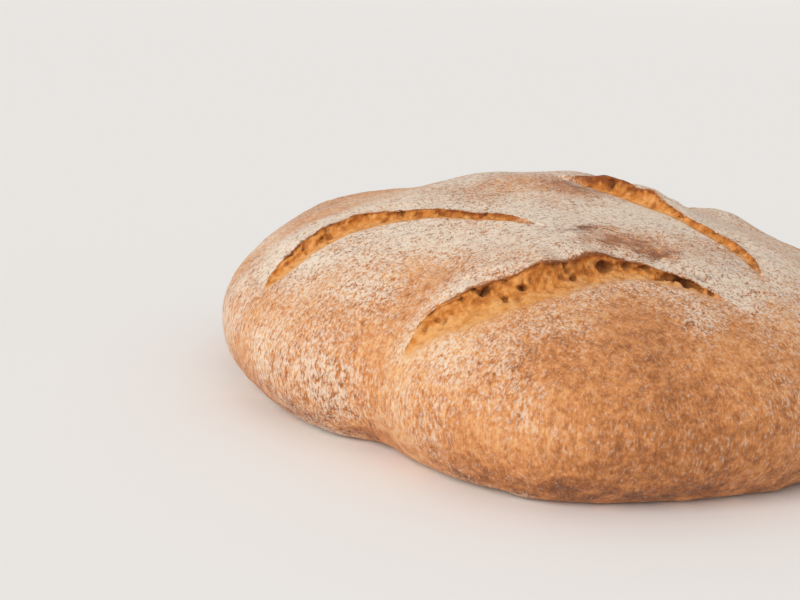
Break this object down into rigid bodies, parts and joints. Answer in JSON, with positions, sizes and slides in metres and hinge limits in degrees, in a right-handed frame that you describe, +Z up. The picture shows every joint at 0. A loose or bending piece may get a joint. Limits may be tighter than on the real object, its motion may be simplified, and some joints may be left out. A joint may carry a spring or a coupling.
{
  "type": "sourdough loaf",
  "caption": "Low, slightly oval, floured country loaf with a flat base, a lobed side and slashes that tore open into raised lips.",
  "frame": {"origin": "on the surface that the loaf stands on, under the middle of its bounding box", "axes": "+Z up out of the flat base, +Y along the loaf's longer axis, +X across it"},
  "size_m": [0.2236, 0.2592, 0.0743],
  "materials": {
    "crust": "dry golden-brown bread crust, dusted with flour, rough and unglazed; ceramic only stands in for a matt baked surface"
  },
  "bodies": {
    "root": {"loaf": "crust"}
  },
  "joints": []
}
